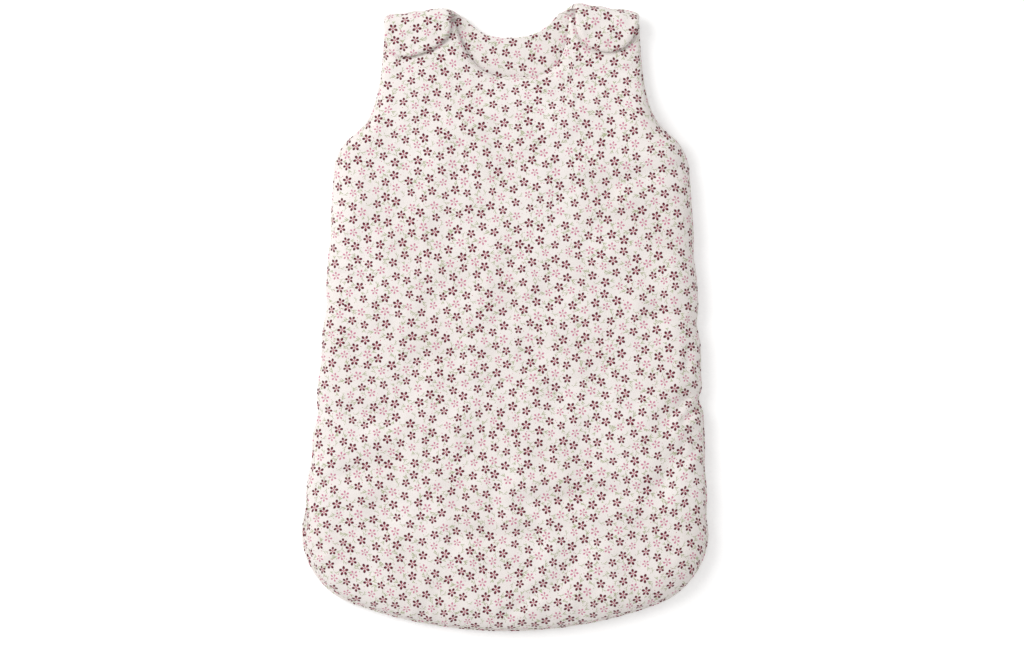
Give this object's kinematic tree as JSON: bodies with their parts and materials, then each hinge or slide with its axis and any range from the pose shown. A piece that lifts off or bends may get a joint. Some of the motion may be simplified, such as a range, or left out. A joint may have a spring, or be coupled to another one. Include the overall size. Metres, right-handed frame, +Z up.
{
  "type": "baby sleeping bag",
  "caption": "Sleeveless padded baby sleeping bag lying flat, with shoulder straps that fold over and snap shut, and a side zip.",
  "frame": {"origin": "bottom centre of the bag's box, on the surface that the bag lies on", "axes": "+Y from the feet to the neck, +Z up through the padding, +X to the viewer's right when the front is looked at"},
  "size_m": [0.4516, 0.7, 0.038],
  "materials": {
    "printed_cotton": "off-white woven cotton with a small all-over flower print in wine red, pink and green",
    "lining_cotton": "off-white woven cotton, lightly printed to match",
    "wadding": "soft white polyester wadding",
    "snap_metal": "satin nickel plate",
    "zip_tape": "woven zip tape, off-white",
    "zip_moulding": "moulded acetal, off-white",
    "slider_metal": "enamelled die-cast zinc, off-white"
  },
  "bodies": {
    "bag": {"back_shell": "printed_cotton", "back_wadding": "wadding", "back_lining": "lining_cotton", "front_shell": "printed_cotton", "front_wadding": "wadding", "front_lining": "lining_cotton", "left_strap_fold": "printed_cotton", "right_strap_fold": "printed_cotton", "left_snap_stud": "snap_metal", "right_snap_stud": "snap_metal", "left_stud_rivet": "snap_metal", "right_stud_rivet": "snap_metal", "zip_tape_back": "zip_tape", "zip_tape_front": "zip_tape", "zip_teeth_back": "zip_moulding", "zip_teeth_front": "zip_moulding", "zip_top_stops": "zip_moulding", "zip_bottom_stop": "zip_moulding", "zip_guard": "lining_cotton"},
    "left_tab": {"left_tab_shell": "printed_cotton", "left_tab_wadding": "wadding", "left_tab_lining": "lining_cotton", "left_snap_socket": "snap_metal", "left_snap_cap": "snap_metal"},
    "right_tab": {"right_tab_shell": "printed_cotton", "right_tab_wadding": "wadding", "right_tab_lining": "lining_cotton", "right_snap_socket": "snap_metal", "right_snap_cap": "snap_metal"},
    "zip_slider": {"zip_slider": "slider_metal"},
    "zip_pull": {"zip_pull": "slider_metal"}
  },
  "joints": [
    {"name": "left_tab_fold", "type": "hinge", "parent": "bag", "child": "left_tab", "pos_m": [-0.10493, 0.33933, 0.01655], "axis": [-0.9925, -0.1219, 0], "range_deg": [0, 178], "deforming": ["left_strap_fold"]},
    {"name": "right_tab_fold", "type": "hinge", "parent": "bag", "child": "right_tab", "pos_m": [0.10493, 0.33933, 0.01655], "axis": [-0.9925, 0.1219, 0], "range_deg": [0, 178], "deforming": ["right_strap_fold"]},
    {"name": "zip_slide", "type": "slide", "parent": "bag", "child": "zip_slider", "axis": [-0.0686, -0.9976, 0], "range_m": [0, 0.3522], "deforming": ["zip_teeth_front", "zip_teeth_back"]},
    {"name": "zip_pull_swing", "type": "hinge", "parent": "zip_slider", "child": "zip_pull", "pos_m": [-0.19792, 0.15651, 0.0171], "axis": [0, 0, -1], "range_deg": [0, 165]}
  ]
}
